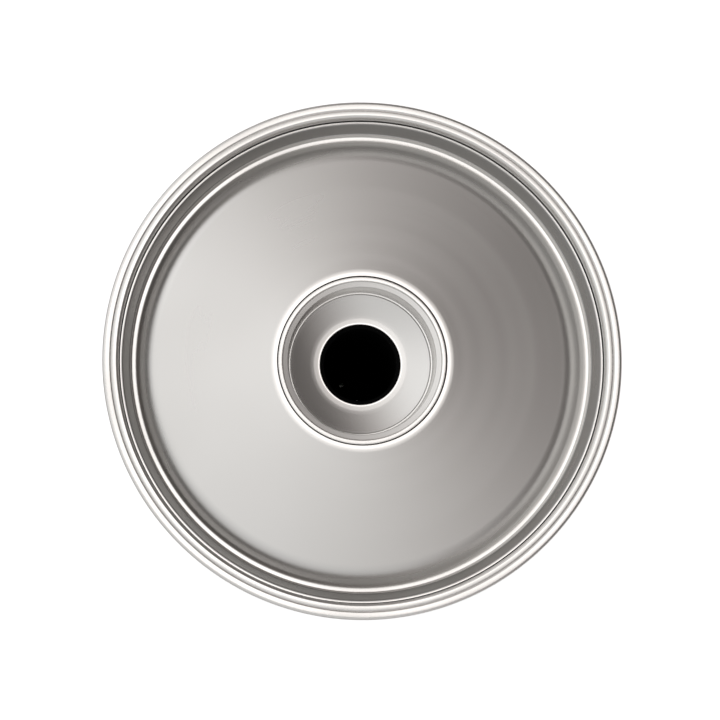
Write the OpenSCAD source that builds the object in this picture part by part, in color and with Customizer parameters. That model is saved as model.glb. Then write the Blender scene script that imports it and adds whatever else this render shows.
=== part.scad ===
// Hand-held donut maker: a batter hopper with a spring plunger in its lid.
// Pressing the dished button drives a piston into the nozzle and lowers a former
// disc, so that one ring of batter leaves through the gap around the disc.
// All sizes are in millimetres. The foot stands on z = 0 and +Z is up.

/* [Hopper] */
// Outside diameter over the rolled rim
rim_d = 100; // [80:1:130]
// Height from the foot to the crest of the rim
body_h = 120; // [100:1:170]
// Thickness of the shell and the funnel
shell_t = 0.8; // [0.6:0.1:1]
// Outside radius of the rolled rim
bead_r = 1.55; // [1.4:0.05:2.2]
// Width of the ledge that the lid's gasket rests on
ledge_w = 1.95; // [1.8:0.05:3]
// Height of the funnel's cone
cone_h = 28; // [20:1:36]

/* [Nozzle] */
// Diameter of the bore that the piston runs in
nozzle_bore_d = 42; // [34:1:52]
// Wall of the nozzle
nozzle_wall = 2.5; // [1.8:0.1:3.5]
// Length of the nozzle below its flange
nozzle_len = 21; // [17:1:26]
// Height left under the pressed plunger when the maker stands on its foot
table_clear = 3; // [2:0.5:8]

/* [Lid] */
// Thickness of the lid
lid_t = 0.6; // [0.5:0.1:0.9]
// Depth of the lid's edge below the crest of the rim
lid_sink = 3.6; // [3:0.1:6]
// Depth of the channel around the dome, below the lid's edge
channel_depth = 4.7; // [4.2:0.1:6]
// Slope of the dome, in degrees
dome_slope = 8; // [5:0.5:12]
// Slope of the dome's edge, in degrees
edge_slope = 35; // [28:1:40]
// Radius of the shoulder between the two slopes
shoulder_r = 9; // [6:0.5:15]

/* [Plunger] */
// Travel of the plunger
travel = 12; // [9:0.5:15]
// Diameter of the push button
button_d = 32.6; // [30:0.1:36]
// Diameter of the button's thumb recess at its floor
recess_d = 28.3; // [26:0.1:30]
// Depth of the recess's floor below the button's lip
recess_depth = 6.7; // [4:0.1:9]
// Slope of the button's dish, in degrees
dish_slope = 15; // [8:1:20]
// Outside diameter of the hollow stem
stem_d = 17.6; // [14:0.2:19]
// Wall of the hollow stem
stem_wall = 0.8; // [0.7:0.1:1.2]
// Wire diameter of the return spring
spring_wire_d = 1.2; // [0.8:0.1:1.5]
// Active turns of the return spring
spring_turns = 5; // [4:0.5:7]

/* [Fits] */
// Gap around the lid's edge
lid_gap = 0.2; // [0.15:0.05:0.5]
// Radial clearance of the piston's seal and the former disc in the nozzle
bore_clear = 0.1; // [0.05:0.01:0.2]
// Radial clearance of the button in the collar
button_clear = 0.2; // [0.1:0.05:0.4]
// Radial clearance of the stem in its bush
stem_clear = 0.06; // [0.03:0.01:0.1]

/* [Hidden] */

$fn = 96;
seat = 0.02;       // gap between two faces that rest on each other
fixed_fit = 0.04;  // gap around a piece that is pressed or welded in place

steel = [0.78, 0.77, 0.75];
turned = [0.70, 0.69, 0.68];
silicone = [0.55, 0.55, 0.54];
nylon = [0.90, 0.89, 0.85];
black = [0.03, 0.03, 0.03];

// Rim and barrel
rim_r = rim_d / 2;
bead_axis = [rim_r - bead_r, body_h - bead_r];
bead_end = -100;                      // angle at which the rolled sheet ends
bead_steps = 27;
neck_r = rim_r - 2 * bead_r;          // inner face of the neck under the rim
barrel_r = neck_r - ledge_w;          // inner face of the barrel
wire_r = bead_r - shell_t - fixed_fit;

// Foot
foot_t = 2;
foot_lip_h = 5;
foot_spigot_h = 8;
foot_spigot_w = 2.4;
foot_lip_w = 1;

// Outline of the lid's upper face, from its edge inwards
lid_r = neck_r - lid_gap;
lid_top_z = body_h - lid_sink;
channel_z = lid_top_z - channel_depth;
ledge_z = channel_z - 0.3;            // top of the ledge in the shell
lip_w = 0.5;
wall_in = 1.2;                        // lean of the lid's wall above its step
wall_drop = 3;
step_in = 0.2;
step_drop = 0.15;
toe_in = 0.2;                         // lean of the wall below the step
channel_w = 0.85;
crown_w = 0.9;                        // flat crown beside the opening
crown_round = 8;
gasket_h = 2.9;
gasket_gap = 0.05;

// Collar and button
collar_wall = 1.35;
collar_flange_w = 5;
collar_flange_t = 1;
collar_floor_t = 1.5;
button_r = button_d / 2;
collar_bore_r = button_r + button_clear;
opening_r = collar_bore_r;

wall_r = lid_r - lip_w;
step_r = wall_r - wall_in;
toe_r = step_r - step_in;
channel_r = toe_r - toe_in;
dome_r = channel_r - channel_w;
shoulder_run = shoulder_r * tan((edge_slope - dome_slope) / 2) + 0.4;
shoulder = [dome_r - shoulder_run * cos(edge_slope), channel_z + shoulder_run * sin(edge_slope)];
crown_z = shoulder[1] + (shoulder[0] - opening_r - crown_w) * tan(dome_slope);
lid_line = [
    [lid_r, lid_top_z, 0],
    [wall_r, lid_top_z, 0.5],
    [step_r, lid_top_z - wall_drop, 0],
    [toe_r, lid_top_z - wall_drop - step_drop, 0.15],
    [channel_r, channel_z, 0.4],
    [dome_r, channel_z, 0.6],
    [shoulder[0], shoulder[1], shoulder_r],
    [opening_r + crown_w, crown_z, crown_round],
    [opening_r, crown_z, 0]
];

// Button
button_t = 0.8;
button_lip_w = 0.85;
button_skirt_h = 15.7;
recess_r = recess_d / 2;
recess_z = crown_z - recess_depth;
recess_rim_w = 0.4;                   // flat ledge around the dish
recess_rim_h = 0.25;
recess_lean = 0.2;                    // lean of the recess's wall
shelf_drop = 0.5;                     // shelf between the wall and the lip
shelf_slope = 5;
lip_slope = 6;                        // slope of the dish beside its hole, in degrees
lip_run = 1.6;
hole_rim_w = 0.45;                    // flat edge of the hole
dish_r = recess_r - recess_rim_w - 0.15;
stem_r = stem_d / 2;
stem_bore_r = stem_r - stem_wall;
hole_r = stem_bore_r - 0.1;
dish_z = recess_z - recess_rim_h;
lip_z = dish_z - (dish_r - hole_r - lip_run) * tan(dish_slope);
hole_z = lip_z - (lip_run - hole_rim_w) * tan(lip_slope);
stem_top_z = hole_z - button_t - seat;

// Spring, bush and clips
spring_seat_t = 1.2;
spring_seat_w = 3.6;
spring_gap = 0.8;
spring_r = stem_r + spring_gap + spring_wire_d / 2;
spring_solid = (spring_turns + 3) * spring_wire_d + 0.4;
spring_high_z = stem_top_z - spring_seat_t - seat;
spring_low_z = spring_high_z - spring_solid - travel;
spring_sides = 8;
spring_steps = 16;                    // rings in one turn
washer_t = 0.5;
bush_wall = 2;
bush_flange_w = 1.2;
bush_flange_t = 1.2;
bush_len = 6;                         // below the collar's floor
bush_r = stem_r + stem_clear + bush_wall;
wiper_h = 1.6;
wiper_w = 1.2;
wiper_clear = 0.03;
collar_floor_z = spring_low_z - washer_t - bush_flange_t - 3 * seat;
bush_low_z = collar_floor_z - collar_floor_t - bush_len;
clip_t = 1;
clip_w = 2.2;
clip_groove = 0.35;
clip_mouth = 8;
stop_clip_z = bush_low_z - clip_t - 0.05;

// Nozzle
nozzle_r = nozzle_bore_d / 2;
nozzle_out_r = nozzle_r + nozzle_wall;
flange_r = nozzle_out_r + 3.5;
flange_t = 2;
nozzle_gasket_t = 1;
cap_flange_t = 3;
nozzle_lip_z = travel + cap_flange_t + table_clear;
flange_z = nozzle_lip_z + nozzle_len;
funnel_seat_z = flange_z - nozzle_gasket_t;
funnel_seat_r = flange_r + 1.5;
funnel_hole_r = nozzle_out_r + 0.1;
funnel_in_r = barrel_r - fixed_fit - shell_t;
funnel_collar_h = 7;
nut_r = nozzle_out_r + 5;
nut_h = 6;
nut_notches = 12;
nut_notch_r = 1.6;

// Piston and former disc
hub_r = stem_r + fixed_fit;
piston_r = nozzle_r - bore_clear - 0.25;
piston_t = 6;
piston_rise = 1.5;
piston_z = flange_z + flange_t + 3;
piston_top_z = piston_z + piston_t + piston_rise;
piston_clip_z = piston_top_z + seat;
seal_h = 1.8;
seal_depth = 1.6;
seal_z = piston_z + 2;
disc_z = nozzle_lip_z + 0.2;
disc_r = nozzle_r - bore_clear;
disc_rim_h = 1.4;
disc_h = 4.8;
spacer_wall = 1.8;
cap_z = disc_z - seat - cap_flange_t;
cap_r = stem_r + 4;
cap_floor_t = 1.6;
cap_spigot_h = 7;
cap_spigot_wall = 2.4;
air_holes = 4;
air_hole_r = 0.5;
stem_low_z = disc_z + seat;
liner_t = 0.8;
liner_floor_t = 1.2;

function unit(v) = v / norm(v);
function xy(v) = [v[0], v[1]];
function left_of(v) = [-v[1], v[0]];
function reversed(p) = [for (i = [len(p) - 1:-1:0]) p[i]];
function heading(c, i) = unit(xy(c[i + 1]) - xy(c[i]));

// Points along an arc about c, from angle a to angle b.
function arc(c, r, a, b, steps) =
    [for (i = [0:steps]) c + r * [cos(a + (b - a) * i / steps), sin(a + (b - a) * i / steps)]];

// One corner of a line of [x, y, radius] corners, as a point or as the arc that rounds it.
function corner(c, i) =
    c[i][2] == 0 ? [xy(c[i])] :
    let (p = xy(c[i]), r = c[i][2],
         a = -heading(c, i - 1), b = heading(c, i),
         half = acos(a * b) / 2,
         mid = p + unit(a + b) * r / sin(half),
         from = p + a * r / tan(half) - mid,
         to = p + b * r / tan(half) - mid,
         start = atan2(from[1], from[0]),
         sweep = (atan2(to[1], to[0]) - start + 540) % 360 - 180)
    arc(mid, r, start, start + sweep, r > 3 ? 10 : 5);

function rounded(c) = [for (i = [0:len(c) - 1]) each corner(c, i)];

// The same line moved sideways by t (to its left where t is positive), mitred at its corners.
function lining(c, t) = [
    for (i = [0:len(c) - 1])
        let (a = heading(c, max(i - 1, 0)), b = heading(c, min(i, len(c) - 2)),
             m = unit(left_of(a) + left_of(b)),
             p = xy(c[i]) + m * t / (m * left_of(b)),
             r = c[i][2])
        [p[0], p[1], r == 0 ? 0 : max(0.1, r - t * sign(cross(a, b)))]
];

// The outline of sheet of thickness t beside a line of corners.
function sheet(c, t) = concat(rounded(c), reversed(rounded(lining(c, t))));

// Radius of the back of the lid's wall at a height.
lid_back = lining(lid_line, lid_t);
function wall_back_r(z) =
    lid_back[1][0] + (z - lid_back[1][1]) * (lid_back[2][0] - lid_back[1][0]) / (lid_back[2][1] - lid_back[1][1]);

// Height along the spring, in turns from its lower end, with one closed turn at each end.
function coil_z(turn) =
    let (closed = 1.05 * spring_wire_d,
         pitch = (spring_high_z - spring_low_z - spring_wire_d - 2 * closed) / spring_turns)
    spring_low_z + spring_wire_d / 2 + closed * min(turn, 1)
    + pitch * min(max(turn - 1, 0), spring_turns) + closed * max(turn - 1 - spring_turns, 0);

module spun(outline) {
    rotate_extrude() polygon(outline);
}

module ring(inner_r, outer_r, z, h) {
    rotate_extrude() translate([inner_r, z]) square([outer_r - inner_r, h]);
}

// Open retaining ring that sits in a groove of the stem.
module clip(z) {
    difference() {
        ring(stem_r - clip_groove + seat, stem_r + clip_w, z, clip_t);
        translate([0, -clip_mouth / 2, z - 1]) cube([stem_r + clip_w + 1, clip_mouth, clip_t + 2]);
    }
}

// Small holes on a circle, through a floor of thickness t whose underside is at z.
// The vent's two floors have theirs half a pitch apart, so that no light shines up it.
module air_holes(r, z, t, pitches) {
    for (i = [0:air_holes - 1])
        rotate((i + pitches) * 360 / air_holes)
            translate([r, 0, z - 1]) cylinder(h = t + 2, r = air_hole_r, $fn = 32);
}

module outer_shell() {
    line = [
        [barrel_r, foot_t, 0],
        [barrel_r, ledge_z, shell_t + 0.2],
        [neck_r, ledge_z, 0.3],
        [neck_r, bead_axis[1], 0]
    ];
    color(steel) spun(concat(
        rounded(line),
        arc(bead_axis, bead_r, 170, bead_end, bead_steps),
        arc(bead_axis, bead_r - shell_t, bead_end, 170, bead_steps),
        reversed(rounded(lining(line, -shell_t)))
    ));
}

module rim_wire() {
    color(turned) rotate_extrude() translate(bead_axis) circle(wire_r, $fn = 48);
}

module foot_ring() {
    slot_in_r = barrel_r - fixed_fit;
    slot_out_r = barrel_r + shell_t + fixed_fit;
    lip_r = slot_out_r + foot_lip_w;
    inner_r = slot_in_r - foot_spigot_w;
    color(black) spun(rounded([
        [inner_r, 0, 0],
        [lip_r, 0, 0.8],
        [lip_r, foot_lip_h, 0.4],
        [slot_out_r, foot_lip_h, 0],
        [slot_out_r, foot_t - seat, 0],
        [slot_in_r, foot_t - seat, 0],
        [slot_in_r, foot_spigot_h, 0.4],
        [inner_r, foot_spigot_h, 0]
    ]));
}

module hopper_funnel() {
    cone_top_z = funnel_seat_z + cone_h;
    color(steel) spun(sheet([
        [funnel_in_r, cone_top_z + funnel_collar_h, 0],
        [funnel_in_r, cone_top_z, 3],
        [funnel_seat_r, funnel_seat_z, 2],
        [funnel_hole_r, funnel_seat_z, 0]
    ], shell_t));
}

module nozzle_cylinder() {
    lead_in = 0.8;
    color(turned) spun([
        [nozzle_r, nozzle_lip_z],
        [nozzle_out_r - 1, nozzle_lip_z],
        [nozzle_out_r, nozzle_lip_z + 2],
        [nozzle_out_r, flange_z],
        [flange_r, flange_z],
        [flange_r, flange_z + flange_t],
        [nozzle_r + lead_in, flange_z + flange_t],
        [nozzle_r, flange_z + flange_t - lead_in]
    ]);
}

module nozzle_gasket() {
    color(silicone)
        ring(nozzle_out_r + 0.1, flange_r - 0.3, funnel_seat_z + seat, nozzle_gasket_t - 2 * seat);
}

module nozzle_nut() {
    nut_z = funnel_seat_z - shell_t - seat - nut_h;
    color(turned) difference() {
        ring(nozzle_out_r + fixed_fit, nut_r, nut_z, nut_h);
        for (i = [0:nut_notches - 1])
            rotate(i * 360 / nut_notches)
                translate([nut_r, 0, nut_z - 1]) cylinder(h = nut_h + 2, r = nut_notch_r, $fn = 32);
    }
}

module lid_dome() {
    color(steel) spun(sheet(lid_line, lid_t));
}

module lid_gasket() {
    low_z = ledge_z + seat;
    top_z = ledge_z + gasket_h;
    foot_r = wall_back_r(lid_back[2][1]) + gasket_gap;
    color(silicone) spun([
        [foot_r, low_z],
        [lid_r - 0.5, low_z],
        [lid_r, low_z + 0.5],
        [lid_r, top_z],
        [wall_back_r(top_z) + gasket_gap, top_z],
        [foot_r, lid_back[2][1]]
    ]);
}

module guide_collar() {
    tube_r = collar_bore_r + collar_wall;
    flange_z = crown_z - lid_t - seat;
    flange_r = opening_r + collar_flange_w;
    flange_drop = (collar_flange_w - crown_w) * tan(dome_slope);
    color(steel) spun(rounded([
        [bush_r + fixed_fit, collar_floor_z, 0],
        [collar_bore_r, collar_floor_z, 1],
        [collar_bore_r, flange_z, 0],
        [opening_r + crown_w, flange_z, 0],
        [flange_r, flange_z - flange_drop, 0],
        [flange_r, flange_z - flange_drop - collar_flange_t, 0],
        [tube_r, flange_z - flange_drop - collar_flange_t, 0.5],
        [tube_r, collar_floor_z - collar_floor_t, 1.5],
        [bush_r + fixed_fit, collar_floor_z - collar_floor_t, 0]
    ]));
}

module stem_bush() {
    bore_r = stem_r + stem_clear;
    wiper_r = bore_r + wiper_w;
    base_z = collar_floor_z + seat;
    color(nylon) spun([
        [wiper_r, bush_low_z],
        [bush_r, bush_low_z],
        [bush_r, base_z],
        [bush_r + bush_flange_w, base_z],
        [bush_r + bush_flange_w, base_z + bush_flange_t],
        [bore_r, base_z + bush_flange_t],
        [bore_r, bush_low_z + wiper_h],
        [wiper_r, bush_low_z + wiper_h]
    ]);
}

module stem_wiper() {
    outer_r = stem_r + stem_clear + wiper_w - seat;
    lip_r = stem_r + wiper_clear;
    top_z = bush_low_z + wiper_h - seat;
    color(silicone) spun([
        [lip_r + 0.6, bush_low_z],
        [outer_r, bush_low_z],
        [outer_r, top_z],
        [lip_r, top_z],
        [lip_r, top_z - 0.5]
    ]);
}

module spring_washer() {
    color(turned)
        ring(stem_r + 0.3, bush_r + bush_flange_w, spring_low_z - seat - washer_t, washer_t);
}

module push_button() {
    dish = [[hole_r, hole_z, 0], [hole_r + hole_rim_w, hole_z, 0], [hole_r + lip_run, lip_z, 6]];
    corner_z = dish_z + (button_r - dish_r) * tan(dish_slope);
    skirt = [[button_r, crown_z - button_skirt_h, 0]];
    shelf_in_r = recess_r + recess_lean;
    shelf_out_r = button_r - button_lip_w - 0.05;
    shelf_z = crown_z - shelf_drop;
    upper = concat(dish, [
        [dish_r, dish_z, 0],
        [recess_r - recess_rim_w, recess_z, 0.08],
        [recess_r, recess_z, 0.25],
        [shelf_in_r, shelf_z - (shelf_out_r - shelf_in_r) * tan(shelf_slope), 0.15],
        [shelf_out_r, shelf_z, 0.12],
        [button_r - button_lip_w, crown_z, 0.15],
        [button_r, crown_z, 0.12]
    ], skirt);
    lower = lining(concat(dish, [[button_r, corner_z, 0]], skirt), -button_t);
    color(steel) spun(concat(rounded(upper), reversed(rounded(lower))));
}

module plunger_stem() {
    color(turned) difference() {
        ring(stem_bore_r, stem_r, stem_low_z, stem_top_z - stem_low_z);
        for (z = [stop_clip_z, piston_clip_z])
            ring(stem_r - clip_groove, stem_r + 1, z - seat, clip_t + 2 * seat);
    }
}

module vent_liner() {
    low_z = cap_z + cap_flange_t + cap_spigot_h + 0.2;
    outer_r = stem_bore_r - fixed_fit;
    inner_r = outer_r - liner_t;
    color(black) difference() {
        spun([
            [0, low_z],
            [outer_r, low_z],
            [outer_r, stem_top_z],
            [inner_r, stem_top_z],
            [inner_r, low_z + liner_floor_t],
            [0, low_z + liner_floor_t]
        ]);
        air_holes(inner_r / 2, low_z, liner_floor_t, 0);
    }
}

module spring_seat() {
    color(turned)
        ring(stem_r + fixed_fit, stem_r + spring_seat_w, stem_top_z - spring_seat_t, spring_seat_t);
}

module return_spring() {
    rings = round((spring_turns + 2) * spring_steps);
    wire = spring_wire_d / 2 - seat;
    points = [
        for (i = [0:rings], j = [0:spring_sides - 1])
            let (a = i * 360 / spring_steps, b = j * 360 / spring_sides, r = spring_r + wire * cos(b))
            [r * cos(a), r * sin(a), coil_z(i / spring_steps) + wire * sin(b)]
    ];
    sides = [
        for (i = [0:rings - 1], j = [0:spring_sides - 1])
            let (k = (j + 1) % spring_sides, low = i * spring_sides, high = low + spring_sides)
            [low + j, high + j, high + k, low + k]
    ];
    low_end = [for (j = [0:spring_sides - 1]) j];
    high_end = [for (j = [spring_sides - 1:-1:0]) rings * spring_sides + j];
    color(turned) polyhedron(points, concat([low_end], sides, [high_end]), convexity = 10);
}

module stop_clip() {
    color(turned) clip(stop_clip_z);
}

module piston_clip() {
    color(turned) clip(piston_clip_z);
}

module metering_piston() {
    groove_r = piston_r - seal_depth;
    color(nylon) spun([
        [hub_r, piston_z],
        [piston_r - 0.5, piston_z],
        [piston_r, piston_z + 0.5],
        [piston_r, seal_z - seat],
        [groove_r, seal_z - seat],
        [groove_r, seal_z + seal_h + seat],
        [piston_r, seal_z + seal_h + seat],
        [piston_r, piston_z + piston_t - 0.8],
        [hub_r + 4, piston_top_z],
        [hub_r, piston_top_z]
    ]);
}

module piston_seal() {
    inner_r = piston_r - seal_depth + seat;
    outer_r = nozzle_r - bore_clear;
    color(silicone) spun(rounded([
        [inner_r, seal_z, 0],
        [outer_r, seal_z, 0.5],
        [outer_r, seal_z + seal_h, 0.5],
        [inner_r, seal_z + seal_h, 0]
    ]));
}

module spacer_tube() {
    low_z = disc_z + disc_h + seat;
    color(turned) ring(hub_r, hub_r + spacer_wall, low_z, piston_z - seat - low_z);
}

module former_disc() {
    color(steel) spun([
        [hub_r, disc_z],
        [disc_r - 0.3, disc_z],
        [disc_r, disc_z + 0.3],
        [disc_r, disc_z + disc_rim_h],
        [hub_r + 2.2, disc_z + disc_h],
        [hub_r, disc_z + disc_h]
    ]);
}

module end_cap() {
    spigot_r = stem_bore_r - fixed_fit;
    bore_r = spigot_r - cap_spigot_wall;
    top_z = cap_z + cap_flange_t;
    color(turned) difference() {
        spun([
            [0, cap_z],
            [cap_r - 1, cap_z],
            [cap_r, cap_z + 1],
            [cap_r, top_z],
            [spigot_r, top_z],
            [spigot_r, top_z + cap_spigot_h],
            [bore_r, top_z + cap_spigot_h],
            [bore_r, cap_z + cap_floor_t],
            [0, cap_z + cap_floor_t]
        ]);
        air_holes(bore_r / 2, cap_z, cap_floor_t, 0.5);
    }
}

outer_shell();
rim_wire();
foot_ring();
hopper_funnel();
nozzle_cylinder();
nozzle_gasket();
nozzle_nut();
lid_dome();
lid_gasket();
guide_collar();
stem_bush();
stem_wiper();
spring_washer();
push_button();
plunger_stem();
vent_liner();
spring_seat();
return_spring();
stop_clip();
piston_clip();
metering_piston();
piston_seal();
spacer_tube();
former_disc();
end_cap();
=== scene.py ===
"""Shapes and finishes of a hand-held steel donut maker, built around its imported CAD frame.

The maker is turned about one upright axis. A hopper on a rubber foot carries a nozzle, a domed
lid drops into its rolled rim, and a dished button in the lid works a sprung metering plunger.
"""

import logging
import math
from dataclasses import dataclass, replace
from enum import Enum
from typing import NamedTuple, Sequence

import bmesh
import bpy
from mathutils import Matrix, Vector

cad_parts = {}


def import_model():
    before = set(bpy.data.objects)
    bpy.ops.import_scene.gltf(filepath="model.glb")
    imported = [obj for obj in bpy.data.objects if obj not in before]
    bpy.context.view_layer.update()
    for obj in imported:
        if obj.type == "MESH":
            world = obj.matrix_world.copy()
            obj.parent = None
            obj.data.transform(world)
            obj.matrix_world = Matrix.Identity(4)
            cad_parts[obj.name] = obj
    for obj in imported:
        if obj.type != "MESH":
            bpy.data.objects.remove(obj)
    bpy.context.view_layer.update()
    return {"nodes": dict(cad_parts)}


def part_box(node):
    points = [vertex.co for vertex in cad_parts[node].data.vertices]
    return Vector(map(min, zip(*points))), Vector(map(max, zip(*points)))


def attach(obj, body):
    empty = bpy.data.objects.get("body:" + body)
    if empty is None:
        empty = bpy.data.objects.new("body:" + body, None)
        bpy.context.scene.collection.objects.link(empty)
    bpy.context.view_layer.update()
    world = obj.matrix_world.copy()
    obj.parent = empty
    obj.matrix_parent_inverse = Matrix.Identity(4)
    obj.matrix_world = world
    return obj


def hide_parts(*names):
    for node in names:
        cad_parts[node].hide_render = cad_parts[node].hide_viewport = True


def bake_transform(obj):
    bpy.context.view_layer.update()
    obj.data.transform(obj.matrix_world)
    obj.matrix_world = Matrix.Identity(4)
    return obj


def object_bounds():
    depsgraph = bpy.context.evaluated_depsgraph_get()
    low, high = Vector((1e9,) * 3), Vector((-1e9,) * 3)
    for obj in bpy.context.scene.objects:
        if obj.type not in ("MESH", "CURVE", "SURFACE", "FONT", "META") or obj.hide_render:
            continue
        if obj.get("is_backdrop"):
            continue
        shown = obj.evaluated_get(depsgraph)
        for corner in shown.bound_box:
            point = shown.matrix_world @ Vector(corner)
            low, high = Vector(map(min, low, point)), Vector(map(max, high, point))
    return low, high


LOG = logging.getLogger("donut_maker")
MM = 0.001
AXIS = Vector((0.0, 0.0, 1.0))
Socket = bpy.types.NodeSocket
Colour = tuple[float, float, float]


class Body(str, Enum):
    """The rigid bodies that pieces ride on."""

    HOPPER = "hopper"
    LID = "lid"
    PLUNGER = "plunger"


class Slot(str, Enum):
    """The record's material slots."""

    SPUN_STEEL = "spun_steel"
    TURNED_STEEL = "turned_steel"
    SPRING_STEEL = "spring_steel"
    FOOT_RUBBER = "foot_rubber"
    SILICONE = "silicone"
    WHITE_NYLON = "white_nylon"
    BLACK_NYLON = "black_nylon"


class Corner(NamedTuple):
    """One corner of a turned outline, in millimetres.

    Args:
        r: Distance from the axis.
        z: Height above the table.
        ease: Length of each side that the rounding of the corner takes up.
        segments: Facets in the rounding.
    """

    r: float
    z: float
    ease: float = 0.0
    segments: int = 6


class Extent(NamedTuple):
    """Reach of a CAD node, in millimetres: its outer radius and its lowest and highest points."""

    r: float
    low: float
    high: float


def extent(node: str) -> Extent:
    """Measures a CAD node at rest.

    Args:
        node: Name of the node.

    Returns:
        The node's outer radius and heights.
    """
    low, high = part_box(node)
    reach = max(abs(low.x), abs(low.y), high.x, high.y)
    return Extent(reach / MM, low.z / MM, high.z / MM)


# ---- Turning and winding ----


class Lathe:
    """Turns outlines about the upright axis and winds wire around it."""

    STEPS = 240
    COIL_STEPS = 48
    HOOP_SIDES = 20
    WIRE_SIDES = 14
    WELD = 0.001 * MM
    SHARP = math.radians(33.0)

    @classmethod
    def solid(cls, name: str, outline: Sequence[Corner]) -> bpy.types.Object:
        """Turns a closed outline.

        Args:
            name: Name of the new piece.
            outline: Corners of the closed outline.

        Returns:
            The turned piece.
        """
        mesh = bmesh.new()
        edges = cls._rounded(mesh, outline, closed=True)
        cls._revolve(mesh, edges)
        return cls._piece(name, mesh)

    @classmethod
    def sheet(cls, name: str, line: Sequence[Corner], thickness: float) -> bpy.types.Object:
        """Turns an open line and gives it the thickness of sheet metal.

        Args:
            name: Name of the new piece.
            line: Corners of the line on the face that is measured.
            thickness: Sheet thickness, positive towards the right of the line.

        Returns:
            The turned piece.
        """
        mesh = bmesh.new()
        edges = cls._rounded(mesh, line, closed=False)
        cls._revolve(mesh, edges)
        start, end = line[0], line[1]
        middle = Vector(((start.r + end.r) / 2.0, (start.z + end.z) / 2.0)) * MM
        side = min(mesh.faces, key=lambda face: (cls._flat(face) - middle).length)
        place = side.calc_center_median()
        radial = Vector((place.x, place.y, 0.0)).normalized()
        right = radial * (end.z - start.z) + AXIS * (start.r - end.r)
        if side.normal.dot(right) < 0.0:
            bmesh.ops.reverse_faces(mesh, faces=mesh.faces[:])
        for face in mesh.faces:
            face.normal_update()
        bmesh.ops.solidify(mesh, geom=mesh.faces[:], thickness=-thickness * MM)
        bmesh.ops.recalc_face_normals(mesh, faces=mesh.faces[:])
        return cls._piece(name, mesh)

    @staticmethod
    def _flat(face: bmesh.types.BMFace) -> Vector:
        """Radius and height of a face's middle."""
        place = face.calc_center_median()
        return Vector((math.hypot(place.x, place.y), place.z))

    @classmethod
    def torus(cls, name: str, r: float, z: float, wire: float) -> bpy.types.Object:
        """Bends round wire into a closed hoop.

        Args:
            name: Name of the new piece.
            r: Radius of the hoop's centre line.
            z: Height of the hoop.
            wire: Radius of the wire.

        Returns:
            The hoop.
        """
        mesh = bmesh.new()
        ring = cls._wire_end(mesh, r, z, wire, cls.HOOP_SIDES)
        cls._revolve(mesh, ring)
        return cls._piece(name, mesh)

    @classmethod
    def coil(
        cls, name: str, r: float, low: float, wire: float, rises: Sequence[tuple[float, float]]
    ) -> bpy.types.Object:
        """Winds round wire into a spring.

        Args:
            name: Name of the new piece.
            r: Radius of the spring's centre line.
            low: Height of the wire's centre at the lower end.
            wire: Radius of the wire.
            rises: Turns and rise per turn of each stretch, from the lower end up.

        Returns:
            The spring.
        """
        mesh = bmesh.new()
        ends = cls._wire_end(mesh, r, low, wire, cls.WIRE_SIDES)
        bmesh.ops.contextual_create(mesh, geom=ends)
        for turns, rise in rises:
            turned = bmesh.ops.spin(
                mesh, geom=ends, cent=(0.0, 0.0, 0.0), axis=AXIS,
                dvec=AXIS * (rise * MM / cls.COIL_STEPS), angle=math.tau * turns,
                steps=round(turns * cls.COIL_STEPS), use_merge=False, use_normal_flip=False,
                use_duplicate=False,
            )
            last = turned["geom_last"]
            ends = [item for item in last if not isinstance(item, bmesh.types.BMFace)]
        edges = [item for item in ends if isinstance(item, bmesh.types.BMEdge)]
        bmesh.ops.contextual_create(mesh, geom=edges)
        bmesh.ops.recalc_face_normals(mesh, faces=mesh.faces[:])
        return cls._piece(name, mesh)

    @staticmethod
    def _wire_end(mesh: bmesh.types.BMesh, r: float, z: float, wire: float, segments: int) -> list:
        """Draws the round end of a wire in the plane of the axis.

        Args:
            mesh: Mesh to draw in.
            r: Distance of the wire's centre from the axis.
            z: Height of the wire's centre.
            wire: Radius of the wire.
            segments: Sides of the round.

        Returns:
            The vertices and edges of the round.
        """
        place = Matrix.Translation((r * MM, 0.0, z * MM)) @ Matrix.Rotation(math.pi / 2, 4, "X")
        made = bmesh.ops.create_circle(
            mesh, cap_ends=False, segments=segments, radius=wire * MM, matrix=place
        )
        edges = list({edge for vertex in made["verts"] for edge in vertex.link_edges})
        return made["verts"] + edges

    @staticmethod
    def _rounded(mesh: bmesh.types.BMesh, corners: Sequence[Corner], closed: bool) -> list:
        """Draws an outline in the plane of the axis and rounds its corners.

        Args:
            mesh: Mesh to draw in.
            corners: Corners in order.
            closed: Whether the last corner joins the first.

        Returns:
            The vertices and edges of the outline.
        """
        points = [mesh.verts.new((c.r * MM, 0.0, c.z * MM)) for c in corners]
        for start, end in zip(points, points[1:]):
            mesh.edges.new((start, end))
        if closed:
            mesh.edges.new((points[-1], points[0]))
        for point, corner in zip(points, corners):
            if corner.ease > 0.0:
                bmesh.ops.bevel(
                    mesh, geom=[point], offset=corner.ease * MM, offset_type="OFFSET",
                    segments=corner.segments, profile=0.5, affect="VERTICES", material=-1,
                    clamp_overlap=False,
                )
        bmesh.ops.remove_doubles(mesh, verts=mesh.verts[:], dist=Lathe.WELD)
        return mesh.verts[:] + mesh.edges[:]

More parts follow.
